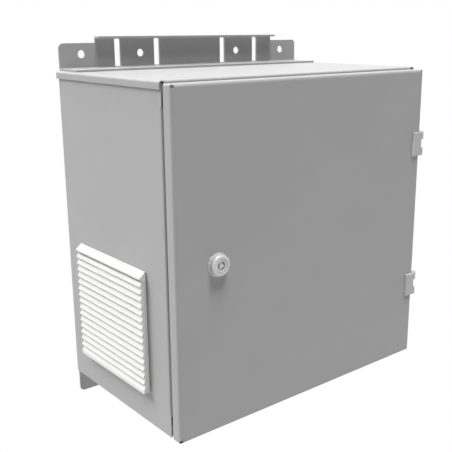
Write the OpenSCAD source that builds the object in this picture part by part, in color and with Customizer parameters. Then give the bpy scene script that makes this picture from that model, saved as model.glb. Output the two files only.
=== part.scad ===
// Utility cabinet for a pole or wall: folded sheet body, pan door on two hinges, quarter-turn lock,
// louvred vent and two strap brackets. Millimetres, +Z up, the door faces -Y, and the origin lies on
// the wall plane in the middle of the four outer bolt holes.

/* [Cabinet] */
// Width over the side walls
box_w = 400; // [340:5:520]
// Height from the floor to the top of the roof
box_h = 400; // [360:5:520]
// Depth of the body from its back wall to its front edge
box_d = 229.5; // [200:0.5:300]
// Thickness of the folded sheet
sheet_t = 1.5; // [1:0.1:2]
// Inside radius of the folds
bend_r = 1.5; // [1:0.1:2]
// Distance of the back wall from the wall plane
back_relief = 1; // [0.5:0.1:3]

/* [Front rim] */
// Width of the side walls' inward fold
rim_w = 22; // [20:0.5:24]
// Height of the front folds of the roof and floor
rim_h = 27; // [24:0.5:32]
// Open slit between a side wall and the ends of those folds
corner_slit = 4; // [3.5:0.5:8]

/* [Roof] */
// Height of the lips that hang over the side walls
roof_lip_h = 9; // [6:0.5:14]
// Gap between a roof lip and the side wall
roof_lip_gap = 0.5; // [0.3:0.1:1]

/* [Floor] */
// Height of the floor's side flanges inside the body
floor_flange_h = 16; // [10:0.5:22]

/* [Door] */
// Depth of the door pan
door_depth = 14.5; // [13.5:0.1:17]
// Gap between the door pan and the body
door_gap = 3.7; // [2.5:0.1:5]
// How far the door stops below the top of the roof
door_top_reveal = 2.8; // [2:0.1:5]
// How far the door stops above the underside of the floor, negative where it reaches below
door_bottom_reveal = -1.2; // [-2:0.1:3]
// Inside radius of the door's folds
door_bend_r = 2.5; // [1.5:0.1:3]
// Inside radius of the pan's corners, where the flanges are welded and ground
door_corner_r = 0.6; // [0.4:0.1:0.8]
// Diameter of the relief hole at each corner of the pan
relief_d = 3.8; // [2:0.1:4.2]
// Distance of the relief holes from the pan's edges
relief_inset = 2.4; // [1.8:0.1:2.8]
// Depth of the relief holes
relief_h = 4.5; // [2:0.1:5]
// Width of the foam gasket
gasket_w = 10; // [8:0.5:12]
// Thickness of the gasket when the door is shut
gasket_t = 6; // [4:0.5:7]

/* [Brackets] */
// Thickness of the bracket plate
bracket_t = 2.5; // [2:0.1:3]
// Inside radius of the bracket's folds
bracket_bend_r = 1; // [0.8:0.1:1.5]
// Distance of each bracket end from the side of the cabinet
bracket_end_gap = 3; // [0:0.5:8]
// Depth of the ledge that lies on the roof
ledge_d = 46; // [40:1:60]
// Height of the ears above the roof
ear_h = 33; // [30:0.5:40]
// Corner radius of the ears
ear_r = 6; // [3:0.5:10]
// Distance of the raised middle from each bracket end
rise_inset = 50; // [46:1:56]
// Height of the raised middle above the roof
rise_h = 41; // [38:0.5:48]
// Depth of the flange on top of the raised middle
top_flange_d = 13; // [8:0.5:20]
// Diameter of the wall bolt holes
bolt_hole_d = 10; // [8:0.5:12]
// Height of the bolt holes above the roof
bolt_rise = 19.5; // [17:0.1:22]
// Distance of the outer bolt holes from each bracket end
ear_hole_inset = 30; // [26:1:36]
// Distance between the inner bolt holes
inner_hole_span = 162; // [150:1:172]
// Width of a strap slot
slot_w = 8.5; // [6:0.5:12]
// Length of a strap slot
slot_h = 34.5; // [25:0.5:35]
// Corner radius of a strap slot
slot_r = 1; // [0.5:0.5:3]
// Distance between the outer strap slots
outer_slot_span = 231; // [220:1:240]
// Distance between the inner strap slots
inner_slot_span = 111; // [100:1:130]
// Thread of the bracket studs
bracket_stud_d = 6; // [5:1:8]
// Distance between the outer bracket studs
bracket_stud_span = 240; // [200:5:280]
// Distance of the bracket studs from the wall plane
bracket_stud_in = 25; // [18:0.5:32]
// Length of the bracket studs below the ledge
bracket_stud_l = 12; // [9:0.5:16]

/* [Hinges] */
// Distance between the two hinges
hinge_span = 199; // [160:1:240]
// Height of a hinge
hinge_h = 32; // [30:0.5:40]
// Height of the open notch between the door leaf's ears
hinge_notch = 12; // [10:0.5:14]
// Width of the door leaf on the front of the door
leaf_w = 16.5; // [14:0.5:18]
// Thickness of the leaf plates
leaf_t = 2.5; // [2:0.1:4]
// Bevel on the front edges of the door leaf
leaf_bevel = 1.2; // [0.5:0.1:1.5]
// Corner radius of the door leaf's ears
leaf_corner_r = 5; // [3:0.5:6]
// Distance of the hinge pin behind the front of the door
pin_back = 8.5; // [7:0.1:10]
// Diameter of the hinge pin
pin_d = 3.5; // [3:0.1:5]
// Thickness of metal round the hinge pin
barrel_wall = 1.5; // [1.2:0.1:1.9]
// Length of the frame leaf on the side wall
frame_leaf_l = 23; // [20:0.5:30]
// Distance of the frame leaf behind the front edge of the body
frame_leaf_set = 1; // [0.5:0.1:2]
// Thread of the hinge screws and studs
hinge_screw_d = 4; // [3:0.5:4]
// Distance between the two screws of a leaf
hinge_screw_span = 18; // [16:0.5:20]
// Distance of the door leaf's studs from the side of the door
leaf_stud_inset = 8.5; // [7.5:0.1:9]
// Distance of the frame leaf's screws behind the front edge of the body
frame_screw_in = 14.5; // [13:0.1:16]

/* [Lock] */
// Distance of the lock from the left edge of the door
lock_inset = 55; // [50:1:60]
// Diameter of the lock's base ring
lock_base_d = 27; // [26:0.5:30]
// Height of the base ring
lock_base_h = 1.2; // [0.8:0.1:2]
// Diameter of the lock's head
lock_head_d = 25; // [23:0.5:25]
// Height of the head above the door
lock_head_h = 8; // [7:0.5:12]
// Radius of the head's rim
lock_rim_r = 3; // [1:0.1:3.4]
// Diameter of the recess in the head
lock_recess_d = 16; // [15:0.5:17]
// Depth of the recess
lock_recess_h = 5; // [4.7:0.1:6]
// Diameter of the threaded stem
lock_stem_d = 20; // [18:0.5:21]
// Diameter of the turning plug
plug_d = 12; // [11.5:0.1:13]
// Thickness of the plug's flange in the recess
plug_flange_t = 4.5; // [3.5:0.1:4.6]
// Diameter of the key socket in the flange
key_socket_d = 10.4; // [9.8:0.1:11]
// Depth of the key socket
key_socket_h = 3.4; // [2.5:0.1:3.8]
// Width of the square that carries the cam
plug_square = 8; // [7.5:0.1:8.2]
// Edge length of the triangular driver
driver_edge = 8; // [6:0.5:9]
// How far the driver stops below the front of its socket
driver_sink = 0.4; // [0.3:0.1:0.6]
// Turn of the driver about the lock's axis
driver_turn = 10; // [0:5:120]
// Thickness of the washer behind the door
washer_t = 1; // [0.8:0.1:1.5]
// Width of the washer round the stem
washer_w = 4; // [3:0.5:5]
// Width across the flats of the lock nut
lock_nut_af = 27; // [25:0.5:29]
// Thickness of the lock nut
lock_nut_h = 5; // [4:0.5:6]
// Gap between the end of the stem and the cam
stem_gap = 2; // [1:0.1:3]
// Width of the cam
cam_w = 16; // [14:0.5:20]
// Thickness of the cam
cam_t = 3; // [2:0.1:4]
// Distance of the turned cam's tip from the side wall
cam_side_gap = 7.5; // [4:0.5:12]
// Gap between the turned cam and the rim
cam_gap = 0.7; // [0.4:0.1:1.5]
// Thread of the cam screw
cam_screw_d = 5; // [4:0.5:5]
// Length of the cam screw's thread in the plug
cam_screw_l = 7; // [5:0.5:9]

/* [Vent] */
// Size of the square opening in the side wall
vent_cutout = 125; // [110:0.5:128]
// Width of the vent's frame beside the opening
vent_flange_w = 12.5; // [11:0.5:15]
// Width of the vent's frame above and below the opening
vent_flange_h = 10.75; // [10:0.25:14]
// Height of the vent's lower edge above the floor
vent_bottom = 41.5; // [36:0.5:120]
// Distance of the vent's middle from the wall plane
vent_in = 114; // [105:1:118]
// How far the vent stands out of the side wall
vent_out = 8.9; // [8.7:0.1:11]
// Thickness of the moulded walls
mould_t = 2; // [1.6:0.1:2.1]
// Thickness of the vent's foam gasket
vent_gasket_t = 0.8; // [0.5:0.1:1]
// Slope height of the hood
hood_bevel = 6; // [5:0.1:7]
// Height of the hood's front band
hood_nose = 1.8; // [1.2:0.1:3]
// Thickness of the hood
hood_t = 1.4; // [1.2:0.1:1.5]
// How far the hood's lower lip runs inwards
hood_lip = 0.9; // [0.5:0.1:0.9]
// Radius of the cover's hinge bar
knuckle_r = 1.4; // [1.3:0.02:1.44]
// Radius of the cover's pivot pins
pivot_r = 0.75; // [0.6:0.05:0.8]
// Length of the pivot pins
pivot_l = 2.5; // [2:0.1:4]
// Height of the pivot above the hood's lower edge
pivot_rise = 0.3; // [0.1:0.1:0.5]
// Distance of the cover's first slat below the pivot
pivot_drop = 4.5; // [4.4:0.1:4.8]
// Width of the cover's hinge web
hinge_web_t = 1.1; // [1:0.05:1.2]
// Number of louvre slats
slat_count = 16; // [14:1:17]
// Depth of the grooves between the slats
slat_dip = 2.4; // [2:0.1:2.6]
// Height of a slat's outward slope
slat_rise = 5; // [4.5:0.1:5.3]
// Thickness of a slat across its slope
slat_t = 1.2; // [1:0.1:1.3]
// Height of a slat's front edge
slat_nose = 0.6; // [0.4:0.1:0.8]
// How far a slat runs inwards behind the slat above it
slat_reach = 3.8; // [3.2:0.1:3.9]
// How far the lip below a slat runs inwards
lip_reach = 1.8; // [1.5:0.1:1.9]
// Height of the cover's bottom edge below the last slat
bottom_nose = 3.85; // [3:0.05:5]
// How far the finger lip hangs below the vent
finger_lip = 1; // [0.5:0.1:3]
// Depth of the spigot behind the side wall
spigot_l = 18; // [15:0.5:24]
// Gap between the spigot and the edge of the opening
spigot_gap = 0.5; // [0.3:0.1:1]
// Width of the snap catches on the spigot
catch_w = 37; // [20:1:60]
// Length of a snap catch
catch_l = 6; // [4:0.5:8]
// Thickness of the filter mat
mat_t = 10; // [6:0.5:11]
// Number of grid bars each way behind the mat
grid_count = 5; // [3:1:8]

/* [Inside] */
// Thickness of the mounting plate
plate_t = 2; // [1.5:0.1:3]
// Gap between the mounting plate and the walls round it
plate_margin = 28; // [24:1:40]
// Distance of the mounting plate from the back wall
plate_standoff = 16; // [10:1:25]
// Distance of the plate studs from the plate's edges
plate_stud_inset = 15; // [12:1:25]
// Corner radius of the mounting plate
plate_corner_r = 5; // [2:0.5:10]
// Thread of the plate studs and the earth stud
plate_stud_d = 8; // [6:1:8]
// Width of the gland plate
gland_w = 220; // [160:5:240]
// Depth of the gland plate
gland_d = 110; // [80:5:120]
// Thickness of the gland plate
gland_t = 2; // [1.5:0.1:3]
// Thickness of the gland plate's gasket
gland_gasket_t = 2; // [1:0.1:3]
// Width of the gland plate's edge on the floor
gland_edge = 14; // [12:0.5:18]
// Corner radius of the gland plate
gland_corner_r = 4.5; // [2:0.5:8]
// Thread of the gland screws
gland_screw_d = 5; // [4:0.5:6]
// Distance of the earth stud from the right side
earth_side = 40; // [30:1:60]
// Distance of the earth stud behind the front edge of the body
earth_in = 45; // [40:1:80]
// Length of the earth stud above the underside of the floor
earth_stud_l = 32; // [26:1:40]

/* [Fits] */
// Gap round welded and slipped-in sheet
seam = 0.2; // [0.1:0.05:0.3]
// Radial gap round a thread in its nut
thread_gap = 0.1; // [0.05:0.05:0.2]
// Radial gap round a screw or stud in a plain hole
hole_gap = 0.3; // [0.2:0.1:0.6]
// Radial gap of a turning fit
running_gap = 0.05; // [0.02:0.01:0.09]
// Radial gap of a tight pin
tight_gap = 0.02; // [0.01:0.01:0.05]
// Gap between pieces that move past each other
moving_gap = 0.4; // [0.3:0.05:0.5]

/* [Hidden] */
$fn = 64;
over = 1;

// Planes of the body
roof_z = box_h / 2;
floor_z = -box_h / 2;
side_x = box_w / 2;
back_y = -back_relief;
front_y = back_y - box_d;
inner_x = side_x - sheet_t;
inner_back_y = back_y - sheet_t;
rim_top_z = roof_z - rim_h;
rim_bottom_z = floor_z + rim_h;
fold_out = bend_r + sheet_t;
flange_x = side_x - corner_slit;

// Planes of the door
door_rear_y = front_y - door_gap;
door_y = door_rear_y - door_depth;
door_top_z = roof_z - door_top_reveal;
door_bottom_z = floor_z + door_bottom_reveal;
pan_y = door_y + sheet_t;
lip_y = pan_y + gasket_t + moving_gap;

// Brackets
bracket_half = side_x - bracket_end_gap;
rise_half = bracket_half - rise_inset;
ear_hole_x = bracket_half - ear_hole_inset;
bolt_z = roof_z + bolt_rise;
stud_y = -bracket_stud_in;
bracket_studs_x = [-bracket_stud_span / 2, 0, bracket_stud_span / 2];

// Hinges
barrel_r = pin_d / 2 + barrel_wall;
pin_x = side_x + barrel_r + moving_gap;
pin_y = door_y + pin_back;
hinge_z = [hinge_span / 2, -hinge_span / 2];
leaf_screw_x = side_x - leaf_stud_inset;
frame_screw_y = front_y + frame_screw_in;
frame_leaf_y = front_y + frame_leaf_set;
screw_z = [hinge_screw_span / 2, -hinge_screw_span / 2];

// Lock
lock_x = -side_x + lock_inset;
lock_z = 0;
cam_y = front_y + sheet_t + cam_gap;
stem_end_y = cam_y - stem_gap;
recess_y = door_y - lock_head_h + lock_recess_h;
cam_len = lock_inset - sheet_t - cam_side_gap;

// Vent
vent_w = vent_cutout + 2 * vent_flange_w;
vent_h = vent_cutout + 2 * vent_flange_h;
vent_z = floor_z + vent_bottom + vent_h / 2;
vent_y = -vent_in;
vent_top = vent_h / 2;
vent_half = vent_w / 2;
cheek_t = mould_t;
cheek_y = vent_half - cheek_t;
flange_u = vent_gasket_t + mould_t;
cover_u = flange_u + moving_gap;
hood_run = vent_out - vent_gasket_t;
hood_drop = hood_t * norm([hood_run, hood_bevel]) / hood_run;
nose_z = vent_top - hood_bevel - hood_nose;
knuckle_u = cover_u + knuckle_r;
knuckle_z = nose_z + pivot_rise;
first_slat_top = knuckle_z - pivot_drop;
cover_bottom = -vent_top - finger_lip;
spigot_half = vent_cutout / 2 - spigot_gap;

// Louvre slats: slopes of the front and of the lip, and how thick they are along the axes
slat_pitch = (nose_z - cover_bottom - bottom_nose) / slat_count;
leg_k = slat_dip / (slat_rise - slat_nose);
lip_k = (slat_pitch - slat_rise) / slat_dip;
leg_w = slat_t * norm([1, leg_k]);
lip_h = slat_t * norm([1, lip_k]);
inner_w = (leg_w + (lip_h - slat_nose) * leg_k) / (1 + lip_k * leg_k);

// Inside
plate_half_x = inner_x - plate_margin;
plate_half_z = roof_z - plate_margin;
plate_back_y = inner_back_y - plate_standoff;
plate_studs = [for (x = [-1, 1], z = [-1, 1])
    [x * (plate_half_x - plate_stud_inset), z * (plate_half_z - plate_stud_inset)]];
gland_y = (front_y - ledge_d) / 2;
gland_screws_at = [for (x = [-1, 0, 1], y = [-1, 1])
    [x * (gland_w - gland_edge) / 2, gland_y + y * (gland_d - gland_edge) / 2]];
earth_x = side_x - earth_side;
earth_y = front_y + earth_in;

// Proportions of standard fasteners, from the thread
function nut_r(d) = 0.95 * d;
function nut_h(d) = 0.8 * d;
function nut_flat_r(d) = 0.8 * d;
function nut_chamfer(d) = 0.08 * d;
function thin_nut_h(d) = 0.5 * d;
function head_r(d) = 0.9 * d;
function head_h(d) = 0.6 * d;
function socket_r(d) = 0.42 * d;
function shoulder_r(d) = 0.85 * d;

grey_coat = "#b1b0ab";
zinc = "#b9bcc0";
nickel = "#c9ccd0";
abs_white = "#f4f4f2";
foam = "#3c3c3c";
brass = "#c8a24a";
galvanised = "#c3c6c8";
fibre = "#e6e6e0";

// Extrusions of a flat profile along each axis
module along_z(z0, z1) { translate([0, 0, z0]) linear_extrude(z1 - z0) children(); }
module along_x(x0, x1) { translate([x0, 0, 0]) rotate([90, 0, 90]) linear_extrude(x1 - x0) children(); }
module along_y(y0, y1) { translate([0, y1, 0]) rotate([90, 0, 0]) linear_extrude(y1 - y0) children(); }

// A block between two corners
module block(low, high) { translate(low) cube(high - low); }

// A cylinder from a point, along +Y
module rod_y(x, y0, y1, z, r) { translate([x, y0, z]) rotate([-90, 0, 0]) cylinder(h = y1 - y0, r = r); }

// A hexagon nut along Z with its bore
module hex_nut(d, h) {
    difference() {
        intersection() {
            cylinder(h = h, r = nut_r(d), $fn = 6);
            rotate_extrude() polygon([
                [0, 0],
                [nut_flat_r(d), 0],
                [nut_r(d), nut_chamfer(d)],
                [nut_r(d), h - nut_chamfer(d)],
                [nut_flat_r(d), h],
                [0, h]
            ]);
        }
        translate([0, 0, -over]) cylinder(h = h + 2 * over, r = d / 2 + thread_gap);
    }
}

function unit(a, b) = (b - a) / norm(b - a);

// Section of a sheet with square folds, along the middle line of the sheet
module fold_section(path, t, r) {
    last = len(path) - 1;
    trim = r + t / 2;
    ring = r + t;
    for (i = [0 : last - 1]) {
        along = unit(path[i], path[i + 1]);
        start = path[i] + along * (i > 0 ? trim : 0);
        stop = path[i + 1] - along * (i < last - 1 ? trim : 0);
        translate(start) rotate(atan2(along.y, along.x))
            translate([0, -t / 2]) square([norm(stop - start), t]);
    }
    for (i = [1 : last - 1]) {
        arrive = unit(path[i - 1], path[i]);
        leave = unit(path[i], path[i + 1]);
        corner = arrive - leave;
        translate(path[i] - corner * trim) intersection() {
            difference() {
                circle(ring);
                circle(r);
            }
            translate([min(corner.x, 0), min(corner.y, 0)] * ring) square(ring);
        }
    }
}

// A socket-head screw whose head stands on z = 0 with its shank below
module screw(d, shank_l) {
    difference() {
        union() {
            cylinder(h = head_h(d), r = head_r(d));
            translate([0, 0, -shank_l]) cylinder(h = shank_l + head_h(d) / 2, r = d / 2);
        }
        translate([0, 0, head_h(d) / 2]) cylinder(h = head_h(d), r = socket_r(d), $fn = 6);
    }
}

// A rectangle with round corners, about its middle
module round_rect(w, h, r) {
    square([w - 2 * r, h], center = true);
    square([w, h - 2 * r], center = true);
    for (x = [-1, 1], y = [-1, 1]) translate([x * (w / 2 - r), y * (h / 2 - r)]) circle(r);
}

// What a round corner takes off a square one: the corner is the origin, the shape lies at -x, -y
module corner_trim(r) {
    difference() {
        translate([-r, -r]) square(r + over);
        translate([-r, -r]) circle(r);
    }
}

module body_shell() {
    wrap = [
        [-side_x + sheet_t / 2, front_y],
        [-side_x + sheet_t / 2, back_y - sheet_t / 2],
        [side_x - sheet_t / 2, back_y - sheet_t / 2],
        [side_x - sheet_t / 2, front_y]
    ];
    rim_x = side_x - rim_w + sheet_t / 2;
    rim_y = front_y + sheet_t / 2;
    rimmed = [
        [-rim_x, lip_y],
        [-rim_x, rim_y],
        [wrap[0].x, rim_y],
        wrap[1],
        wrap[2],
        [wrap[3].x, rim_y],
        [rim_x, rim_y],
        [rim_x, lip_y]
    ];
    color(grey_coat) difference() {
        union() {
            along_z(floor_z, rim_bottom_z) fold_section(wrap, sheet_t, bend_r);
            along_z(rim_bottom_z, rim_top_z) fold_section(rimmed, sheet_t, bend_r);
            along_z(rim_top_z, roof_z - sheet_t) fold_section(wrap, sheet_t, bend_r);
        }
        for (s = [-1, 1])
            translate([s * side_x, (front_y + back_y) / 2, roof_z])
                cube([2 * fold_out, box_d + 2 * over, 2 * fold_out], center = true);
        along_x(-side_x - over, -inner_x + over)
            translate([vent_y, vent_z]) square(vent_cutout, center = true);
        for (z = hinge_z, dz = screw_z)
            translate([inner_x - over, frame_screw_y, z + dz]) rotate([0, 90, 0])
                cylinder(h = sheet_t + 2 * over, r = hinge_screw_d / 2 + hole_gap);
    }
}

// Top or bottom sheet with its front fold and gasket lip; up is +1 for the floor, -1 for the roof
module front_fold(z, up, y_end) {
    lip_x = side_x - rim_w + sheet_t;
    mid = z + up * sheet_t / 2;
    edge = z + up * (rim_h - sheet_t / 2);
    along_x(-lip_x, lip_x) fold_section([
        [y_end, mid],
        [front_y + sheet_t / 2, mid],
        [front_y + sheet_t / 2, edge],
        [lip_y, edge]
    ], sheet_t, bend_r);
    for (s = [-1, 1]) along_x(s > 0 ? lip_x : -flange_x, s > 0 ? flange_x : -lip_x) fold_section([
        [y_end, mid],
        [front_y + sheet_t / 2, mid],
        [front_y + sheet_t / 2, z + up * rim_h]
    ], sheet_t, bend_r);
}

module roof_cap() {
    lip_x = side_x + roof_lip_gap + sheet_t / 2;
    top = roof_z - sheet_t / 2;
    color(grey_coat) difference() {
        union() {
            difference() {
                along_y(front_y, back_y) fold_section([
                    [-lip_x, roof_z - roof_lip_h],
                    [-lip_x, top],
                    [lip_x, top],
                    [lip_x, roof_z - roof_lip_h]
                ], sheet_t, bend_r);
                block([-flange_x, front_y - over, roof_z - sheet_t - over],
                    [flange_x, front_y + fold_out, roof_z + over]);
            }
            front_fold(roof_z, -1, back_y);
        }
        for (x = bracket_studs_x)
            translate([x, stud_y, roof_z - sheet_t - over])
                cylinder(h = sheet_t + 2 * over, r = bracket_stud_d / 2 + hole_gap);
    }
}

module floor_pan() {
    side = inner_x - seam - sheet_t / 2;
    bottom = floor_z + sheet_t / 2;
    edge_z = floor_z + floor_flange_h;
    end_y = inner_back_y - seam;
    color(grey_coat) difference() {
        union() {
            difference() {
                along_y(front_y, end_y) fold_section([
                    [-side, edge_z],
                    [-side, bottom],
                    [side, bottom],
                    [side, edge_z]
                ], sheet_t, bend_r);
                block([-flange_x, front_y - over, floor_z - over],
                    [flange_x, front_y + fold_out, floor_z + sheet_t + over]);
                for (s = [-1, 1])
                    along_z(floor_z - over, edge_z + over) translate([s * side, back_y - sheet_t])
                        square([2 * fold_out, 2 * fold_out], center = true);
            }
            front_fold(floor_z, 1, end_y);
        }
        translate([0, gland_y, floor_z - over])
            cube([gland_w - 2 * gland_edge, gland_d - 2 * gland_edge, 4 * sheet_t], center = true);
        for (p = gland_screws_at)
            translate([p.x, p.y, floor_z - over])
                cylinder(h = sheet_t + 2 * over, r = gland_screw_d / 2 + hole_gap);
        for (x = bracket_studs_x)
            translate([x, stud_y, floor_z - over])
                cylinder(h = sheet_t + 2 * over, r = bracket_stud_d / 2 + hole_gap);
        translate([earth_x, earth_y, floor_z - over])
            cylinder(h = sheet_t + 2 * over, r = plate_stud_d / 2 + tight_gap);
    }
}

// A bracket whose ledge lies on the roof
module bracket() {
    web_y = -bracket_t / 2;
    ledge_z = roof_z + bracket_t / 2;
    difference() {
        union() {
            along_x(-bracket_half, bracket_half)
                fold_section([
                    [-ledge_d, ledge_z],
                    [web_y, ledge_z],
                    [web_y, roof_z + ear_h]
                ], bracket_t, bracket_bend_r);
            along_x(-rise_half, rise_half)
                fold_section([
                    [-ledge_d, ledge_z],
                    [web_y, ledge_z],
                    [web_y, roof_z + rise_h - bracket_t / 2],
                    [-top_flange_d, roof_z + rise_h - bracket_t / 2]
                ], bracket_t, bracket_bend_r);
            for (x = bracket_studs_x)
                translate([x, stud_y, roof_z - bracket_stud_l])
                    cylinder(h = bracket_stud_l + over, r = bracket_stud_d / 2);
        }
        for (s = [-1, 1]) {
            along_y(-bracket_t - over, over) translate([s * bracket_half, roof_z + ear_h])
                mirror([s < 0 ? 1 : 0, 0]) corner_trim(ear_r);
            rod_y(s * ear_hole_x, -bracket_t - over, over, bolt_z, bolt_hole_d / 2);
            rod_y(s * inner_hole_span / 2, -bracket_t - over, over, bolt_z, bolt_hole_d / 2);
            for (span = [outer_slot_span, inner_slot_span])
                along_y(-bracket_t - over, over) translate([s * span / 2, roof_z + rise_h / 2])
                    round_rect(slot_w, slot_h, slot_r);
        }
    }
}

module upper_bracket() { color(grey_coat) bracket(); }
module lower_bracket() { color(grey_coat) mirror([0, 0, 1]) bracket(); }

module bracket_nuts() {
    h = nut_h(bracket_stud_d);
    color(zinc) for (x = bracket_studs_x, z = [roof_z - sheet_t - h, floor_z + sheet_t])
        translate([x, stud_y, z]) hex_nut(bracket_stud_d, h);
}

module gland_holes(r) {
    for (p = gland_screws_at) translate(p) circle(r);
}

module gland_plate() {
    low = floor_z - gland_gasket_t - gland_t;
    color(grey_coat) along_z(low, low + gland_t) difference() {
        translate([0, gland_y]) round_rect(gland_w, gland_d, gland_corner_r);
        gland_holes(gland_screw_d / 2 + hole_gap);
    }
}

module gland_gasket() {
    color(foam) along_z(floor_z - gland_gasket_t, floor_z) difference() {
        translate([0, gland_y]) round_rect(gland_w, gland_d, gland_corner_r);
        translate([0, gland_y]) square([gland_w - 2 * gland_edge, gland_d - 2 * gland_edge], center = true);
        gland_holes(gland_screw_d / 2 + hole_gap);
    }
}

module gland_screws() {
    under = floor_z - gland_gasket_t - gland_t;
    color(zinc) for (p = gland_screws_at)
        translate([p.x, p.y, under]) rotate([180, 0, 0])
            screw(gland_screw_d, gland_t + gland_gasket_t + sheet_t + nut_h(gland_screw_d) + over);
}

module gland_nuts() {
    color(zinc) for (p = gland_screws_at)
        translate([p.x, p.y, floor_z + sheet_t]) hex_nut(gland_screw_d, nut_h(gland_screw_d));
}

module mounting_plate() {
    color(galvanised) along_y(plate_back_y - plate_t, plate_back_y) difference() {
        round_rect(2 * plate_half_x, 2 * plate_half_z, plate_corner_r);
        for (p = plate_studs) translate(p) circle(plate_stud_d / 2 + hole_gap);
    }
}

module plate_studs_set() {
    thread_end = plate_back_y - plate_t - 2 * nut_h(plate_stud_d);
    color(zinc) for (p = plate_studs) {
        rod_y(p.x, plate_back_y, inner_back_y, p.y, shoulder_r(plate_stud_d));
        rod_y(p.x, thread_end, inner_back_y, p.y, plate_stud_d / 2);
    }
}

module plate_nuts() {
    color(zinc) for (p = plate_studs)
        translate([p.x, plate_back_y - plate_t, p.y]) rotate([90, 0, 0])
            hex_nut(plate_stud_d, nut_h(plate_stud_d));
}

module earth_stud() {
    h = thin_nut_h(plate_stud_d);
    color(brass) translate([earth_x, earth_y, floor_z - h]) {
        cylinder(h = h, r = head_r(plate_stud_d));
        cylinder(h = h + earth_stud_l, r = plate_stud_d / 2);
    }
}

module earth_nuts() {
    h = nut_h(plate_stud_d);
    color(brass) for (z = [floor_z + sheet_t, floor_z + sheet_t + 2 * h])
        translate([earth_x, earth_y, z]) hex_nut(plate_stud_d, h);
}

// Plan of the door leaf's ears: front plate, arm round the door's edge and barrel
module ear_plan() {
    front = door_y - leaf_t;
    outer = pin_x + barrel_r;
    difference() {
        union() {
            translate([side_x - leaf_w, front]) square([leaf_w, leaf_t]);
            translate([side_x, front]) square([outer - side_x, pin_y - front]);
            translate([pin_x, pin_y]) circle(barrel_r);
        }
        translate([outer, front]) mirror([0, 1]) corner_trim(leaf_corner_r);
        translate([side_x - leaf_w, front]) rotate(45) square(leaf_bevel * sqrt(2), center = true);
    }
}

module door_leaf(z) {
    top = z + hinge_h / 2;
    low = z - hinge_h / 2;
    front = door_y - leaf_t;
    stud_end = pan_y + nut_h(hinge_screw_d) + over;
    difference() {
        union() {
            intersection() {
                difference() {
                    along_z(low, top) ear_plan();
                    block([side_x, front - over, z - hinge_notch / 2],
                        [pin_x + 2 * barrel_r, pin_y + 2 * barrel_r, z + hinge_notch / 2]);
                }
                along_x(side_x - leaf_w - over, pin_x + barrel_r + over) polygon([
                    [front, low + leaf_bevel],
                    [front + leaf_bevel, low],
                    [pin_y + 2 * barrel_r, low],
                    [pin_y + 2 * barrel_r, top],
                    [front + leaf_bevel, top],
                    [front, top - leaf_bevel]
                ]);
            }
            for (dz = screw_z) rod_y(leaf_screw_x, door_y - leaf_t / 2, stud_end, z + dz, hinge_screw_d / 2);
        }
        translate([pin_x, pin_y, low - over]) cylinder(h = hinge_h + 2 * over, r = pin_d / 2 + running_gap);
    }
}

module upper_hinge_door_leaf() { color(zinc) door_leaf(hinge_z[0]); }
module lower_hinge_door_leaf() { color(zinc) door_leaf(hinge_z[1]); }

module door_leaf_nuts() {
    color(zinc) for (z = hinge_z, dz = screw_z)
        translate([leaf_screw_x, pan_y, z + dz]) rotate([-90, 0, 0])
            hex_nut(hinge_screw_d, nut_h(hinge_screw_d));
}

module frame_leaf(z) {
    knuckle = hinge_notch / 2 - moving_gap;
    arm_end = front_y + leaf_t;
    difference() {
        union() {
            block([side_x, frame_leaf_y, z - hinge_h / 2],
                [side_x + leaf_t, frame_leaf_y + frame_leaf_l, z + hinge_h / 2]);
            along_z(z - knuckle, z + knuckle) {
                translate([pin_x, pin_y]) circle(barrel_r);
                polygon([
                    [pin_x - barrel_r, pin_y],
                    [pin_x + barrel_r, pin_y],
                    [pin_x + barrel_r, arm_end],
                    [side_x + leaf_t, arm_end + pin_x + barrel_r - side_x - leaf_t],
                    [pin_x - barrel_r, arm_end + pin_x + barrel_r - side_x - leaf_t]
                ]);
            }
        }
        translate([pin_x, pin_y, z - hinge_h]) cylinder(h = 2 * hinge_h, r = pin_d / 2 + tight_gap);
        for (dz = screw_z)
            translate([side_x - over, frame_screw_y, z + dz]) rotate([0, 90, 0])
                cylinder(h = leaf_t + 2 * over, r = hinge_screw_d / 2 + hole_gap);
    }
}

module upper_hinge_frame_leaf() { color(zinc) frame_leaf(hinge_z[0]); }
module lower_hinge_frame_leaf() { color(zinc) frame_leaf(hinge_z[1]); }

module hinge_pin(z) { translate([pin_x, pin_y, z - hinge_h / 2]) cylinder(h = hinge_h, r = pin_d / 2); }

module upper_hinge_pin() { color(nickel) hinge_pin(hinge_z[0]); }
module lower_hinge_pin() { color(nickel) hinge_pin(hinge_z[1]); }

module frame_leaf_screws() {
    color(zinc) for (z = hinge_z, dz = screw_z)
        translate([side_x + leaf_t, frame_screw_y, z + dz]) rotate([0, 90, 0])
            screw(hinge_screw_d, leaf_t + sheet_t + nut_h(hinge_screw_d) + over);
}

module frame_leaf_nuts() {
    color(zinc) for (z = hinge_z, dz = screw_z)
        translate([inner_x, frame_screw_y, z + dz]) rotate([0, -90, 0])
            hex_nut(hinge_screw_d, nut_h(hinge_screw_d));
}

// Block with its front edges rounded along both directions, from the front plane back
module pan_block(half_x, low, high, front, rear, r, corner) {
    intersection() {
        along_y(front, rear) translate([0, (low + high) / 2]) round_rect(2 * half_x, high - low, corner);
        along_z(low, high) union() {
            translate([-half_x, front + r]) square([2 * half_x, rear - front - r]);
            translate([-half_x + r, front]) square([2 * (half_x - r), r]);
            for (s = [-1, 1]) translate([s * (half_x - r), front + r]) circle(r);
        }
        along_x(-half_x, half_x) union() {
            translate([front + r, low]) square([rear - front - r, high - low]);
            translate([front, low + r]) square([r, high - low - 2 * r]);
            for (z = [low + r, high - r]) translate([front + r, z]) circle(r);
        }
    }
}

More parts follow.
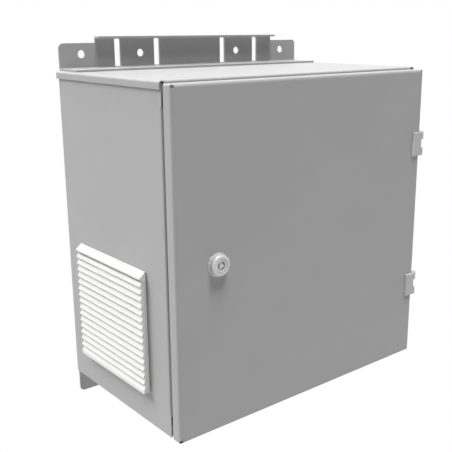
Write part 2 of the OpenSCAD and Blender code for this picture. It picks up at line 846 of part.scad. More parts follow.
module door_panel() {
    color(grey_coat) difference() {
        pan_block(side_x, door_bottom_z, door_top_z, door_y, door_rear_y,
            door_bend_r + sheet_t, door_corner_r + sheet_t);
        pan_block(side_x - sheet_t, door_bottom_z + sheet_t, door_top_z - sheet_t,
            pan_y, door_rear_y + over, door_bend_r, door_corner_r);
        for (s = [-1, 1], z = [door_bottom_z + relief_inset, door_top_z - relief_inset])
            rod_y(s * (side_x - relief_inset), door_y - over, door_y + relief_h, z, relief_d / 2);
        rod_y(lock_x, door_y - over, pan_y + over, lock_z, lock_stem_d / 2 + hole_gap);
        for (z = hinge_z, dz = screw_z)
            rod_y(leaf_screw_x, door_y - over, pan_y + over, z + dz, hinge_screw_d / 2 + hole_gap);
    }
}

module door_gasket() {
    mid_w = 2 * (side_x - rim_w) + sheet_t;
    mid_h = 2 * (roof_z - rim_h) + sheet_t;
    color(foam) along_y(pan_y, pan_y + gasket_t) difference() {
        round_rect(mid_w + gasket_w, mid_h + gasket_w, gasket_w / 2);
        square([mid_w - gasket_w, mid_h - gasket_w], center = true);
    }
}

// Turns a profile of radius and depth round the lock's axis; depth runs back from the door's front
module lock_turned() {
    translate([lock_x, door_y, lock_z]) rotate([-90, 0, 0]) rotate_extrude() children();
}

module lock_housing() {
    head_r = lock_head_d / 2;
    color(nickel) difference() {
        lock_turned() union() {
            translate([0, -lock_base_h]) square([lock_base_d / 2, lock_base_h]);
            translate([0, -lock_head_h + lock_rim_r]) square([head_r, lock_head_h - lock_rim_r]);
            translate([0, -lock_head_h]) square([head_r - lock_rim_r, lock_head_h]);
            translate([head_r - lock_rim_r, -lock_head_h + lock_rim_r]) circle(lock_rim_r);
            square([lock_stem_d / 2, stem_end_y - door_y]);
        }
        rod_y(lock_x, door_y - lock_head_h - over, recess_y, lock_z, lock_recess_d / 2);
        rod_y(lock_x, recess_y - over, stem_end_y + over, lock_z, plug_d / 2 + running_gap);
    }
}

module lock_washer() {
    color(zinc) difference() {
        rod_y(lock_x, pan_y, pan_y + washer_t, lock_z, lock_stem_d / 2 + washer_w);
        rod_y(lock_x, pan_y - over, pan_y + washer_t + over, lock_z, lock_stem_d / 2 + thread_gap);
    }
}

module lock_nut() {
    color(zinc) translate([lock_x, pan_y + washer_t, lock_z]) rotate([-90, 0, 0]) difference() {
        cylinder(h = lock_nut_h, r = lock_nut_af / sqrt(3), $fn = 6);
        translate([0, 0, -over]) cylinder(h = lock_nut_h + 2 * over, r = lock_stem_d / 2 + thread_gap);
    }
}

module lock_plug() {
    flange_r = lock_recess_d / 2 - moving_gap;
    face_y = recess_y - plug_flange_t;
    socket_y = face_y + key_socket_h;
    color(nickel) union() {
        difference() {
            union() {
                rod_y(lock_x, face_y, recess_y - running_gap, lock_z, flange_r);
                rod_y(lock_x, face_y, cam_y, lock_z, plug_d / 2);
                translate([lock_x, cam_y + (cam_t - seam) / 2, lock_z])
                    cube([plug_square, cam_t - seam, plug_square], center = true);
            }
            rod_y(lock_x, face_y - over, socket_y, lock_z, key_socket_d / 2);
            rod_y(lock_x, cam_y - cam_screw_l - over, cam_y + cam_t + over,
                lock_z, cam_screw_d / 2 + thread_gap);
        }
        translate([lock_x, socket_y + over, lock_z]) rotate([90, driver_turn, 0])
            cylinder(h = key_socket_h + over - driver_sink, r = driver_edge / sqrt(3), $fn = 3);
    }
}

module lock_cam() {
    color(zinc) along_y(cam_y, cam_y + cam_t) translate([lock_x, lock_z]) difference() {
        union() {
            circle(cam_w / 2);
            translate([-cam_w / 2, -cam_len + cam_w / 2]) square([cam_w, cam_len - cam_w / 2]);
            translate([0, -cam_len + cam_w / 2]) circle(cam_w / 2);
        }
        square(plug_square + 2 * running_gap, center = true);
    }
}

module cam_screw() {
    color(zinc) translate([lock_x, cam_y + cam_t, lock_z]) rotate([-90, 0, 0])
        screw(cam_screw_d, cam_screw_l + cam_t);
}

// Places what follows on the vent's middle; first profile axis runs out of the side wall, second is up
module on_vent(y0, y1) {
    translate([-side_x, vent_y, vent_z]) mirror([1, 0, 0]) along_y(y0, y1) children();
}

// Height of the hood's inner face at a distance from the side wall
function hood_in(u) = vent_top - (u - vent_gasket_t) * hood_bevel / hood_run - hood_drop;

module vent_frame() {
    inside = spigot_half - mould_t;
    grid_step = 2 * inside / (grid_count + 1);
    lip_z = nose_z - hood_lip * lip_k;
    end_u = knuckle_u + knuckle_r;
    end_z = first_slat_top + 1.5 * moving_gap;
    color(abs_white) union() {
        on_vent(-vent_half, vent_half) difference() {
            translate([vent_gasket_t, -vent_top]) square([mould_t, vent_h]);
            translate([0, -inside]) square([flange_u + over, 2 * inside]);
        }
        for (s = [-1, 1]) {
            on_vent(s < 0 ? -vent_half : inside, s < 0 ? -inside : vent_half)
                translate([vent_gasket_t, -vent_top]) square([mould_t, vent_h]);
            on_vent(-spigot_half, spigot_half)
                translate([-spigot_l, s > 0 ? inside : -spigot_half]) square([spigot_l + flange_u, mould_t]);
            on_vent(s > 0 ? inside : -spigot_half, s > 0 ? spigot_half : -inside)
                translate([-spigot_l, -spigot_half]) square([spigot_l + flange_u, 2 * spigot_half]);
            on_vent(-catch_w / 2, catch_w / 2) translate([-sheet_t - seam, s * spigot_half]) polygon([
                [0, 0],
                [0, s * mould_t],
                [-catch_l, 0]
            ]);
            on_vent(s > 0 ? cheek_y : -vent_half, s > 0 ? vent_half : -cheek_y) polygon([
                [vent_gasket_t, vent_top],
                [vent_out, vent_top - hood_bevel],
                [vent_out, nose_z],
                [end_u, nose_z],
                [end_u, end_z],
                [vent_gasket_t, end_z]
            ]);
            on_vent(s > 0 ? cheek_y - pivot_l : -cheek_y - over, s > 0 ? cheek_y + over : -cheek_y + pivot_l)
                translate([knuckle_u, knuckle_z]) circle(pivot_r);
        }
        for (i = [1 : grid_count]) {
            on_vent(-inside, inside)
                translate([-spigot_l, -inside + i * grid_step - mould_t / 2]) square([mould_t, mould_t]);
            on_vent(-inside + i * grid_step - mould_t / 2, -inside + i * grid_step + mould_t / 2)
                translate([-spigot_l, -inside]) square([mould_t, 2 * inside]);
        }
        on_vent(-vent_half, vent_half) polygon([
            [vent_gasket_t, vent_top],
            [vent_out, vent_top - hood_bevel],
            [vent_out, nose_z],
            [vent_out - hood_lip, lip_z],
            [vent_out - hood_t, lip_z],
            [vent_out - hood_t, hood_in(vent_out - hood_t)],
            [vent_gasket_t, hood_in(vent_gasket_t)]
        ]);
    }
}

module vent_gasket() {
    color(foam) translate([-side_x, vent_y, vent_z]) rotate([0, -90, 0]) along_z(0, vent_gasket_t)
        difference() {
            square([vent_h - 2 * mould_t, vent_w - 2 * mould_t], center = true);
            square(vent_cutout + 2 * mould_t, center = true);
        }
}

module filter_mat() {
    half = spigot_half - mould_t - seam;
    color(fibre) translate([-side_x, vent_y, vent_z])
        block([spigot_l - mould_t - mat_t, -half, -half], [spigot_l - mould_t, half, half]);
}

// Height of the lower front edge of slat i, counted from the top, and how far it runs inwards
function slat_z(i) = nose_z - (i + 1) * slat_pitch;
function leg_reach(i) = i == 0 ? (first_slat_top - slat_z(0) - slat_nose) * leg_k : slat_reach;

// Bottom of the groove above slat i
function groove(i) = i == 0 ? [vent_out - leg_reach(0), first_slat_top]
    : [vent_out - slat_dip, slat_z(i) + slat_rise];

// Front outline of the slats from top to bottom
function slat_teeth() = [for (i = [0 : slat_count - 1], step = [0 : 2])
    step == 0 ? groove(i)
    : step == 1 ? [vent_out, slat_z(i) + slat_nose]
    : [vent_out, slat_z(i)]];

// A slat with its lip; the last one stands on the bottom edge instead of a lip
module slat(i) {
    z = slat_z(i);
    r = leg_reach(i);
    top = z + slat_nose + r / leg_k;
    foot = i < slat_count - 1 ? [
        [vent_out - inner_w, z + lip_h - inner_w * lip_k],
        [vent_out - lip_reach, z + lip_h - lip_reach * lip_k],
        [vent_out - lip_reach, z - lip_reach * lip_k]
    ] : [[vent_out - leg_w + slat_nose * leg_k, z]];
    polygon(concat([
        [vent_out, z],
        [vent_out, z + slat_nose],
        [vent_out - r, top],
        [vent_out - r - leg_w, top]
    ], foot));
}

module vent_cover() {
    last_z = slat_z(slat_count - 1);
    shelf_u = vent_out - leg_reach(0) - leg_w / 4;
    bar_y = cheek_y - moving_gap;
    floor_top = cover_bottom + finger_lip + mould_t;
    color(abs_white) difference() {
        union() {
            on_vent(-cheek_y, cheek_y) {
                for (i = [0 : slat_count - 1]) slat(i);
                translate([cover_u, first_slat_top - slat_t]) square([shelf_u - cover_u, slat_t]);
                polygon([
                    [vent_out, cover_bottom],
                    [vent_out, last_z + slat_nose],
                    [vent_out - mould_t, last_z + slat_nose],
                    [vent_out - mould_t, floor_top],
                    [cover_u, floor_top],
                    [cover_u, cover_bottom + finger_lip]
                ]);
            }
            on_vent(-bar_y, bar_y) {
                translate([knuckle_u, knuckle_z]) circle(knuckle_r);
                translate([cover_u, first_slat_top - slat_t])
                    square([hinge_web_t, knuckle_z - first_slat_top + slat_t]);
            }
            for (s = [-1, 1]) on_vent(s > 0 ? cheek_y : -vent_half, s > 0 ? vent_half : -cheek_y)
                polygon(concat(slat_teeth(), [
                    [vent_out, cover_bottom],
                    [cover_u, cover_bottom + finger_lip],
                    [cover_u, first_slat_top]
                ]));
        }
        on_vent(-vent_half - over, vent_half + over)
            translate([knuckle_u, knuckle_z]) circle(pivot_r + running_gap);
    }
}

body_shell();
roof_cap();
floor_pan();
upper_bracket();
lower_bracket();
bracket_nuts();
gland_plate();
gland_gasket();
gland_screws();
gland_nuts();
mounting_plate();
plate_studs_set();
plate_nuts();
earth_stud();
earth_nuts();
upper_hinge_frame_leaf();
lower_hinge_frame_leaf();
upper_hinge_pin();
lower_hinge_pin();
frame_leaf_screws();
frame_leaf_nuts();
vent_frame();
vent_gasket();
filter_mat();
vent_cover();
door_panel();
door_gasket();
upper_hinge_door_leaf();
lower_hinge_door_leaf();
door_leaf_nuts();
lock_housing();
lock_washer();
lock_nut();
lock_plug();
lock_cam();
cam_screw();
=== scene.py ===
import math

import bmesh
import bpy
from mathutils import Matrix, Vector, noise


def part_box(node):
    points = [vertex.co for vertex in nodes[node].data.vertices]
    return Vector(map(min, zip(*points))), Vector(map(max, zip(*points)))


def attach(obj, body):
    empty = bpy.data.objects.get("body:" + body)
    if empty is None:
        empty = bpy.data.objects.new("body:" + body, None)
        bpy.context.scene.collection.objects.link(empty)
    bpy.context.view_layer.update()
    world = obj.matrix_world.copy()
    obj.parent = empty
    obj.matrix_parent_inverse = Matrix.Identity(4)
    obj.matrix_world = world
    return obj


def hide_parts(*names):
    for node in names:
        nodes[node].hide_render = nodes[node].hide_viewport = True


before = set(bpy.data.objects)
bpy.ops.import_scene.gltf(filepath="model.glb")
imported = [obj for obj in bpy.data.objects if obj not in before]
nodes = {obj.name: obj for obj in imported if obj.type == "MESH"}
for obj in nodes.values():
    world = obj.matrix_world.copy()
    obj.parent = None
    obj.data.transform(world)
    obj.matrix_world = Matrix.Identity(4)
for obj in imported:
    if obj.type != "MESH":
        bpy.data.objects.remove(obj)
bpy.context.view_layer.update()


# Folded steel shell, roof cap, floor pan, brackets, gland plate and door pan
# All are laser-cut mild steel sheet, folded on a press brake, spot-welded and then powder coated
# in one light grey. The door is a pan with four flanges and a small relief hole at each corner.
def linear(code):
    """sRGB hex colour as linear RGBA."""
    parts = [int(code[i:i + 2], 16) / 255 for i in (1, 3, 5)]
    return [p / 12.92 if p <= 0.04045 else ((p + 0.055) / 1.055) ** 2.4 for p in parts] + [1.0]


def per_mm(size):
    """Texture scale at which one feature is this many millimetres wide."""
    return 1000 / size


def add(tree, kind, settings=None, inputs=None):
    """Adds a node; an input is a value or the output socket that feeds it."""
    node = tree.nodes.new(kind)
    for name, value in (settings or {}).items():
        setattr(node, name, value)
    for name, value in (inputs or {}).items():
        if isinstance(value, bpy.types.NodeSocket):
            tree.links.new(value, node.inputs[name])
        else:
            node.inputs[name].default_value = value
    return node


def start_material(name):
    """An empty material with its shader; returns the material, its tree, shader and coordinates."""
    material = bpy.data.materials.new(name)
    material.use_nodes = True
    tree = material.node_tree
    shader = tree.nodes["Principled BSDF"]
    place = add(tree, "ShaderNodeTexCoord").outputs["Object"]
    return material, tree, shader, place


def dress(names, material):
    """Puts one material on CAD nodes."""
    for name in names:
        mesh = nodes[name].data
        mesh.materials.clear()
        mesh.materials.append(material)


# Polyester powder coat: sprayed dry and baked, so it is satin, even in colour, soft on every edge
# and has a faint orange peel about 1.4 mm across.
powder_coat, tree, shader, place = start_material("powder_coat_light_grey")
cloud = add(tree, "ShaderNodeTexNoise", None, {"Vector": place, "Scale": per_mm(70), "Detail": 2.0})
tone = add(tree, "ShaderNodeValToRGB", None, {"Fac": cloud.outputs["Fac"]})
tone.color_ramp.elements[0].position = 0.3
tone.color_ramp.elements[0].color = linear("#b0b0b0")
tone.color_ramp.elements[1].position = 0.7
tone.color_ramp.elements[1].color = linear("#b3b3b3")
peel = add(tree, "ShaderNodeTexNoise", None, {"Vector": place, "Scale": per_mm(1.4), "Detail": 3.0})
gloss = add(tree, "ShaderNodeMapRange", None, {
    "Value": peel.outputs["Fac"],
    "To Min": 0.44,
    "To Max": 0.56,
})
edge = add(tree, "ShaderNodeBevel", {"samples": 6}, {"Radius": 0.0006})
skin = add(tree, "ShaderNodeBump", None, {
    "Height": peel.outputs["Fac"],
    "Strength": 0.25,
    "Distance": 0.00006,
    "Normal": edge.outputs["Normal"],
})
tree.links.new(tone.outputs["Color"], shader.inputs["Base Color"])
tree.links.new(gloss.outputs["Result"], shader.inputs["Roughness"])
tree.links.new(skin.outputs["Normal"], shader.inputs["Normal"])
shader.inputs["Specular IOR Level"].default_value = 0.35
dress([
    "body_shell", "roof_cap", "floor_pan", "upper_bracket", "lower_bracket", "gland_plate", "door_panel",
], powder_coat)


# Nuts, studs and screws
# Standard cold-formed steel fasteners, zinc plated and passivated, so they are bright with a faint bluish
# cloud. They hold the brackets, the gland plate, the mounting plate and the hinges.
zinc_plate, tree, shader, place = start_material("zinc_plated_steel")
blotch = add(tree, "ShaderNodeTexNoise", None, {"Vector": place, "Scale": per_mm(3), "Detail": 3.0})
tone = add(tree, "ShaderNodeValToRGB", None, {"Fac": blotch.outputs["Fac"]})
tone.color_ramp.elements[0].color = linear("#a9adb3")
tone.color_ramp.elements[1].color = linear("#cdd1d6")
gloss = add(tree, "ShaderNodeMapRange", None, {
    "Value": blotch.outputs["Fac"],
    "To Min": 0.24,
    "To Max": 0.42,
})
edge = add(tree, "ShaderNodeBevel", {"samples": 4}, {"Radius": 0.0003})
tree.links.new(tone.outputs["Color"], shader.inputs["Base Color"])
tree.links.new(gloss.outputs["Result"], shader.inputs["Roughness"])
tree.links.new(edge.outputs["Normal"], shader.inputs["Normal"])
shader.inputs["Metallic"].default_value = 1.0
dress([
    "bracket_nuts", "gland_screws", "gland_nuts", "plate_studs_set", "plate_nuts", "frame_leaf_screws",
    "frame_leaf_nuts", "door_leaf_nuts", "upper_hinge_pin", "lower_hinge_pin", "lock_washer", "lock_nut",
    "lock_cam", "cam_screw",
], zinc_plate)


def new_piece(name, mesh, material):
    """Turns a finished mesh into an object of the scene with one material."""
    data = bpy.data.meshes.new(name)
    mesh.to_mesh(data)
    mesh.free()
    data.materials.append(material)
    piece = bpy.data.objects.new(name, data)
    bpy.context.scene.collection.objects.link(piece)
    return piece


def thread(name, body, material, radius, pitch, start, end, places):
    """Rolled thread from start to end on the bare ends of studs, one at each of the places."""
    facets = 20
    crest = 0.0003
    sunk = 0.00005
    half_root = 0.48
    half_crest = 0.08
    mesh = bmesh.new()
    axis = (end - start).normalized()
    side = axis.orthogonal().normalized()
    over = axis.cross(side)
    count = int((end - start).length / pitch * facets)
    for shift in places:
        before = None
        for i in range(count + 1):
            angle = math.tau * i / facets
            out = side * math.cos(angle) + over * math.sin(angle)
            foot = start + shift + axis * (pitch * i / facets)
            fade = min(1.0, i / facets, (count - i) / facets)
            ring = [mesh.verts.new(foot + out * r + axis * (pitch * step)) for r, step in (
                (radius - sunk, -half_root),
                (radius + crest * fade, -half_crest),
                (radius + crest * fade, half_crest),
                (radius - sunk, half_root),
            )]
            if before:
                for j in range(len(ring) - 1):
                    mesh.faces.new((before[j], ring[j], ring[j + 1], before[j + 1]))
            before = ring
    piece = new_piece(name, mesh, material)
    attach(piece, body)


# The plate's studs are bare from the face of their nuts to the chamfer at their ends, and a nut's
# corners lie 0.95 stud diameters from its axis.
stud_d = 0.008
stud_pitch = 0.00125
nut_corner_r = 0.95 * stud_d
clear_of_nut = 0.0003
stud_chamfer = 0.0006
plate_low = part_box("plate_studs_set")[0]
nut_low, nut_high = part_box("plate_nuts")
stud_x = nut_high.x - nut_corner_r
stud_z = nut_high.z - nut_corner_r * math.cos(math.pi / 6)
thread(
    "plate_stud_threads", "cabinet", zinc_plate, stud_d / 2, stud_pitch,
    start=Vector((0, nut_low.y - clear_of_nut, 0)),
    end=Vector((0, plate_low.y + stud_chamfer, 0)),
    places=[Vector((x, 0, z)) for x in (-stud_x, stud_x) for z in (-stud_z, stud_z)],
)


# Mounting plate
# A flat plate of hot-dip galvanised steel on four shoulder studs, where the equipment is fixed.
# Galvanising leaves zinc crystals, the spangle, 8 mm or so across, each with its own tone.
galvanised, tree, shader, place = start_material("galvanised_steel")
spangle = add(tree, "ShaderNodeTexVoronoi", None, {
    "Vector": place,
    "Scale": per_mm(8),
    "Randomness": 1.0,
})
grain = add(tree, "ShaderNodeSeparateColor", None, {"Color": spangle.outputs["Color"]})
tone = add(tree, "ShaderNodeValToRGB", None, {"Fac": grain.outputs["Red"]})
tone.color_ramp.elements[0].color = linear("#aeb2b5")
tone.color_ramp.elements[1].color = linear("#c9cdd0")
gloss = add(tree, "ShaderNodeMapRange", None, {
    "Value": grain.outputs["Green"],
    "To Min": 0.34,
    "To Max": 0.52,
})
tree.links.new(tone.outputs["Color"], shader.inputs["Base Color"])
tree.links.new(gloss.outputs["Result"], shader.inputs["Roughness"])
shader.inputs["Metallic"].default_value = 1.0
dress(["mounting_plate"], galvanised)


# Earth stud
# A turned brass stud through the floor with two brass nuts, for the earth wires. The brass is bare,
# so it is warm and bright, with faint stains a few millimetres across.
brass, tree, shader, place = start_material("brass")
stain = add(tree, "ShaderNodeTexNoise", None, {"Vector": place, "Scale": per_mm(4), "Detail": 4.0})
tone = add(tree, "ShaderNodeValToRGB", None, {"Fac": stain.outputs["Fac"]})
tone.color_ramp.elements[0].color = linear("#b08d44")
tone.color_ramp.elements[1].color = linear("#d8ba6a")
gloss = add(tree, "ShaderNodeMapRange", None, {
    "Value": stain.outputs["Fac"],
    "To Min": 0.22,
    "To Max": 0.4,
})
tree.links.new(tone.outputs["Color"], shader.inputs["Base Color"])
tree.links.new(gloss.outputs["Result"], shader.inputs["Roughness"])
shader.inputs["Metallic"].default_value = 1.0
dress(["earth_stud", "earth_nuts"], brass)
earth_low, earth_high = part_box("earth_stud")
earth_nut_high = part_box("earth_nuts")[1]
earth_axis = Vector(((earth_low.x + earth_high.x) / 2, (earth_low.y + earth_high.y) / 2, 0))
thread(
    "earth_stud_thread", "cabinet", brass, stud_d / 2, stud_pitch,
    start=Vector((0, 0, earth_nut_high.z + clear_of_nut)),
    end=Vector((0, 0, earth_high.z - stud_chamfer)),
    places=[earth_axis],
)


# Gaskets
# The door's gasket is polyurethane foam poured as one endless bead, so its top is crowned and its
# corners are round. The gland plate and the vent have die-cut foam strips. All are dull black with
# fine pores.
foam, tree, shader, place = start_material("black_foam_rubber")
pores = add(tree, "ShaderNodeTexVoronoi", None, {"Vector": place, "Scale": per_mm(0.8)})
# Each pore is painted darker towards its centre, where the bump sinks it: painted shade in its hollow,
# over the foam's even black.
tone = add(tree, "ShaderNodeValToRGB", None, {"Fac": pores.outputs["Distance"]})
tone.color_ramp.elements[0].color = linear("#2a2a2b")
tone.color_ramp.elements[1].color = linear("#3c3c3d")
skin = add(tree, "ShaderNodeBump", None, {
    "Height": pores.outputs["Distance"],
    "Strength": 0.5,
    "Distance": 0.0002,
})
tree.links.new(tone.outputs["Color"], shader.inputs["Base Color"])
tree.links.new(skin.outputs["Normal"], shader.inputs["Normal"])
shader.inputs["Roughness"].default_value = 0.88
dress(["gland_gasket", "vent_gasket"], foam)

# Each point of the bead's section is a share of its width across and a share of its height up.
low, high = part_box("door_gasket")
bead_w = 0.010
bead_h = high.y - low.y
corner_r = 0.009
corner_steps = 8
half_x = (high.x - low.x - bead_w) / 2
half_z = (high.z - low.z - bead_w) / 2
crown = [(-0.5, 0.0), (-0.48, 0.45), (-0.4, 0.75), (-0.24, 0.94), (0.0, 1.0)]
crown += [(-across, up) for across, up in reversed(crown[:-1])]
mesh = bmesh.new()
rings = []
for turn, (sign_x, sign_z) in enumerate(((1, 1), (-1, 1), (-1, -1), (1, -1))):
    centre = Vector((sign_x * (half_x - corner_r), 0, sign_z * (half_z - corner_r)))
    for i in range(corner_steps + 1):
        angle = math.pi / 2 * turn + math.pi / 2 * i / corner_steps
        out = Vector((math.cos(angle), 0, math.sin(angle)))
        ring = []
        for across, up in crown:
            spot = centre + out * corner_r + out * (across * bead_w)
            ring.append(mesh.verts.new((spot.x, low.y + up * bead_h, spot.z)))
        rings.append(ring)
for ring, after in zip(rings, rings[1:] + rings[:1]):
    for j in range(len(crown)):
        k = (j + 1) % len(crown)
        mesh.faces.new((ring[j], after[j], after[k], ring[k]))
bmesh.ops.recalc_face_normals(mesh, faces=mesh.faces)
gasket_bead = new_piece("door_gasket_bead", mesh, foam)
gasket_bead.data.shade_smooth()
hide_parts("door_gasket")
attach(gasket_bead, "door")


# Filter vent
# Frame and louvred cover are injection moulded in white ABS: a fixed hood above, and a cover of
# sloping slats that swings up for changing the mat. Moulded walls are satin with a fine grain, which
# is drawn coarser than it is, at 0.9 mm, to show.
abs_white, tree, shader, place = start_material("white_abs")
grain = add(tree, "ShaderNodeTexNoise", None, {"Vector": place, "Scale": per_mm(0.9), "Detail": 2.0})
tone = add(tree, "ShaderNodeValToRGB", None, {"Fac": grain.outputs["Fac"]})
tone.color_ramp.elements[0].color = linear("#e8e8e6")
tone.color_ramp.elements[1].color = linear("#ededeb")
gloss = add(tree, "ShaderNodeMapRange", None, {
    "Value": grain.outputs["Fac"],
    "To Min": 0.36,
    "To Max": 0.48,
})
edge = add(tree, "ShaderNodeBevel", {"samples": 4}, {"Radius": 0.0003})
skin = add(tree, "ShaderNodeBump", None, {
    "Height": grain.outputs["Fac"],
    "Strength": 0.2,
    "Distance": 0.00004,
    "Normal": edge.outputs["Normal"],
})
tree.links.new(tone.outputs["Color"], shader.inputs["Base Color"])
tree.links.new(gloss.outputs["Result"], shader.inputs["Roughness"])
tree.links.new(skin.outputs["Normal"], shader.inputs["Normal"])
dress(["vent_frame", "vent_cover"], abs_white)


# Filter mat
# A lofted mat of bonded polyester fibre, 10 mm thick, held in the frame by the grid behind it.
# Its faces are soft and uneven, with short fibres lying in all directions.
fibre, tree, shader, place = start_material("polyester_fibre_mat")
strands = add(tree, "ShaderNodeTexNoise", None, {
    "Vector": place,
    "Scale": per_mm(2.2),
    "Detail": 6.0,
    "Roughness": 0.7,
    "Distortion": 1.6,
})
tone = add(tree, "ShaderNodeValToRGB", None, {"Fac": strands.outputs["Fac"]})
tone.color_ramp.elements[0].color = linear("#c9c9c2")
tone.color_ramp.elements[1].color = linear("#efefe9")
skin = add(tree, "ShaderNodeBump", None, {
    "Height": strands.outputs["Fac"],
    "Strength": 0.8,
    "Distance": 0.0008,
})
tree.links.new(tone.outputs["Color"], shader.inputs["Base Color"])
tree.links.new(skin.outputs["Normal"], shader.inputs["Normal"])
shader.inputs["Roughness"].default_value = 0.95

# Both faces are grids with shallow dents about 11 mm apart, drawn in along the cut edges.
low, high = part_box("filter_mat")
size = high - low
cells = 40
dent_depth = 0.0012
dent_scale = 90
edge_depth = 0.0016
edge_cells = 2
mesh = bmesh.new()
faces = []
for face_x, inward in ((low.x, 1), (high.x, -1)):
    grid = []
    for i in range(cells + 1):
        row = []
        for j in range(cells + 1):
            y = low.y + size.y * i / cells
            z = low.z + size.z * j / cells
            wave = noise.noise(Vector((face_x * dent_scale, y * dent_scale, z * dent_scale)))
            rim = min(i, j, cells - i, cells - j)
            dent = dent_depth * (0.5 + 0.5 * wave)
            dent += edge_depth * max(0, edge_cells - rim) / edge_cells
            row.append(mesh.verts.new((face_x + inward * dent, y, z)))
        grid.append(row)
    faces.append(grid)
    for i in range(cells):
        for j in range(cells):
            mesh.faces.new((grid[i][j], grid[i + 1][j], grid[i + 1][j + 1], grid[i][j + 1]))
border = [(i, 0) for i in range(cells)] + [(cells, j) for j in range(cells)]
border += [(i, cells) for i in range(cells, 0, -1)] + [(0, j) for j in range(cells, 0, -1)]
for (a, b), (c, d) in zip(border, border[1:] + border[:1]):
    mesh.faces.new((faces[0][a][b], faces[0][c][d], faces[1][c][d], faces[1][a][b]))
bmesh.ops.recalc_face_normals(mesh, faces=mesh.faces)
filter_mat = new_piece("filter_fibre_mat", mesh, fibre)
filter_mat.data.shade_smooth()
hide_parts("filter_mat")
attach(filter_mat, "cabinet")


# Hinges
# Each is a pair of zinc die-castings on a steel pin: a door leaf with two ears in front and a frame
# leaf on the side wall. A matt clear lacquer leaves the castings dull, pale and a little uneven.
die_cast, tree, shader, place = start_material("die_cast_zinc")
flow = add(tree, "ShaderNodeTexNoise", None, {"Vector": place, "Scale": per_mm(2.5), "Detail": 4.0})
tone = add(tree, "ShaderNodeValToRGB", None, {"Fac": flow.outputs["Fac"]})
tone.color_ramp.elements[0].color = linear("#c6c6c5")
tone.color_ramp.elements[1].color = linear("#d1d1d0")
edge = add(tree, "ShaderNodeBevel", {"samples": 4}, {"Radius": 0.0004})
skin = add(tree, "ShaderNodeBump", None, {
    "Height": flow.outputs["Fac"],
    "Strength": 0.2,
    "Distance": 0.0001,
    "Normal": edge.outputs["Normal"],
})
tree.links.new(tone.outputs["Color"], shader.inputs["Base Color"])
tree.links.new(skin.outputs["Normal"], shader.inputs["Normal"])
shader.inputs["Roughness"].default_value = 0.7
shader.inputs["Specular IOR Level"].default_value = 0.15
dress([
    "upper_hinge_frame_leaf", "lower_hinge_frame_leaf", "upper_hinge_door_leaf", "lower_hinge_door_leaf",
], die_cast)


# Quarter-turn lock
# A zinc housing with a round head, held through the door by a nut, and a plug with a triangular
# driver that turns the cam. Both are nickel plated, so they are pale and bright with a satin haze.
nickel, tree, shader, place = start_material("nickel_plate")
haze = add(tree, "ShaderNodeTexNoise", None, {"Vector": place, "Scale": per_mm(1.6), "Detail": 3.0})
tone = add(tree, "ShaderNodeValToRGB", None, {"Fac": haze.outputs["Fac"]})
tone.color_ramp.elements[0].color = linear("#cfcfcf")
tone.color_ramp.elements[1].color = linear("#dfdfde")
gloss = add(tree, "ShaderNodeMapRange", None, {
    "Value": haze.outputs["Fac"],
    "To Min": 0.3,
    "To Max": 0.42,
})
edge = add(tree, "ShaderNodeBevel", {"samples": 4}, {"Radius": 0.0004})
tree.links.new(tone.outputs["Color"], shader.inputs["Base Color"])
tree.links.new(gloss.outputs["Result"], shader.inputs["Roughness"])
tree.links.new(edge.outputs["Normal"], shader.inputs["Normal"])
shader.inputs["Metallic"].default_value = 0.4
dress(["lock_housing", "lock_plug"], nickel)
stem_d = 0.020
stem_pitch = 0.0015
stem_chamfer = 0.0008
lock_nut_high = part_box("lock_nut")[1]
lock_low, lock_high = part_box("lock_housing")
lock_axis = Vector(((lock_low.x + lock_high.x) / 2, 0, (lock_low.z + lock_high.z) / 2))
thread(
    "lock_stem_thread", "door", nickel, stem_d / 2, stem_pitch,
    start=Vector((0, lock_nut_high.y + clear_of_nut, 0)),
    end=Vector((0, lock_high.y - stem_chamfer, 0)),
    places=[lock_axis],
)


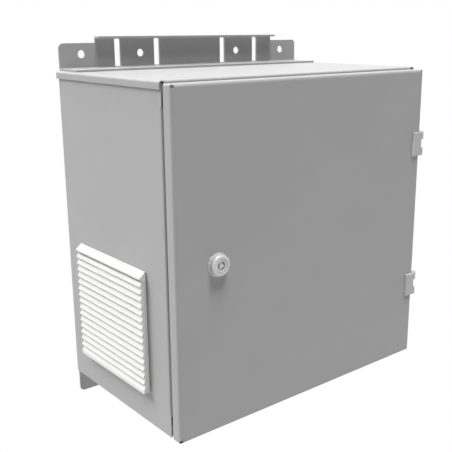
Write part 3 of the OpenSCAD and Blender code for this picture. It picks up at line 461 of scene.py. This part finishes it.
# Studio
# The cabinet hangs clear of a wide pale floor. Two soft lamps stand above it, one towards the front
# and one behind on the left, and the floor throws their light back up. The camera sees plain white.
floor_half = 7.0
floor_z = -1.2
paper, tree, shader, place = start_material("pale_studio_floor")
shader.inputs["Base Color"].default_value = linear("#bababa")
shader.inputs["Roughness"].default_value = 0.9
rays = add(tree, "ShaderNodeLightPath")
direct = add(tree, "ShaderNodeMath", {"operation": "MAXIMUM"}, {
    0: rays.outputs["Is Camera Ray"],
    1: rays.outputs["Is Transmission Ray"],
})
glow = add(tree, "ShaderNodeEmission", None, {"Color": linear("#ffffff"), "Strength": 1.0})
seen = add(tree, "ShaderNodeMixShader", None, {
    0: direct.outputs["Value"],
    1: shader.outputs["BSDF"],
    2: glow.outputs["Emission"],
})
tree.links.new(seen.outputs["Shader"], tree.nodes["Material Output"].inputs["Surface"])
mesh = bmesh.new()
bmesh.ops.create_grid(mesh, x_segments=1, y_segments=1, size=floor_half)
floor = new_piece("studio_floor", mesh, paper)
floor.location = (0, 0, floor_z)

world = bpy.data.worlds.new("white_studio")
bpy.context.scene.world = world
world.use_nodes = True
tree = world.node_tree
rays = add(tree, "ShaderNodeLightPath")
direct = add(tree, "ShaderNodeMath", {"operation": "MAXIMUM"}, {
    0: rays.outputs["Is Camera Ray"],
    1: rays.outputs["Is Glossy Ray"],
})
direct = add(tree, "ShaderNodeMath", {"operation": "MAXIMUM"}, {
    0: direct.outputs["Value"],
    1: rays.outputs["Is Transmission Ray"],
})
dim = add(tree, "ShaderNodeBackground", None, {"Color": linear("#ffffff"), "Strength": 0.01})
white = add(tree, "ShaderNodeBackground", None, {"Color": linear("#ffffff"), "Strength": 1.0})
seen = add(tree, "ShaderNodeMixShader", None, {
    0: direct.outputs["Value"],
    1: dim.outputs["Background"],
    2: white.outputs["Background"],
})
tree.links.new(seen.outputs["Shader"], tree.nodes["World Output"].inputs["Surface"])

for name, towards, strength, spread in (
    ("front_lamp", (0.0, -0.27, 0.963), 3.05, 22),
    ("left_lamp", (-0.48, 0.46, 0.75), 3.38, 36),
):
    lamp = bpy.data.lights.new(name, "SUN")
    lamp.energy = strength
    lamp.angle = math.radians(spread)
    holder = bpy.data.objects.new(name, lamp)
    holder.rotation_euler = Vector(towards).to_track_quat("Z", "Y").to_euler()
    bpy.context.scene.collection.objects.link(holder)


# Camera
# It stands in front of the cabinet, to the left of it and just above its roof, as for the photograph.
# The shift frames the cabinet as the photograph does.
lens = bpy.data.cameras.new("photo_camera")
lens.sensor_width = 36
lens.lens = 59.15
lens.shift_x = -0.0489
lens.shift_y = -0.0056
camera = bpy.data.objects.new("photo_camera", lens)
camera.location = (-0.6149, -0.8673, 0.2508)
camera.rotation_euler = [math.radians(angle) for angle in (75.242, 0.127, -39.734)]
bpy.context.scene.collection.objects.link(camera)
bpy.context.scene.camera = camera
bpy.context.scene.view_settings.view_transform = "Standard"
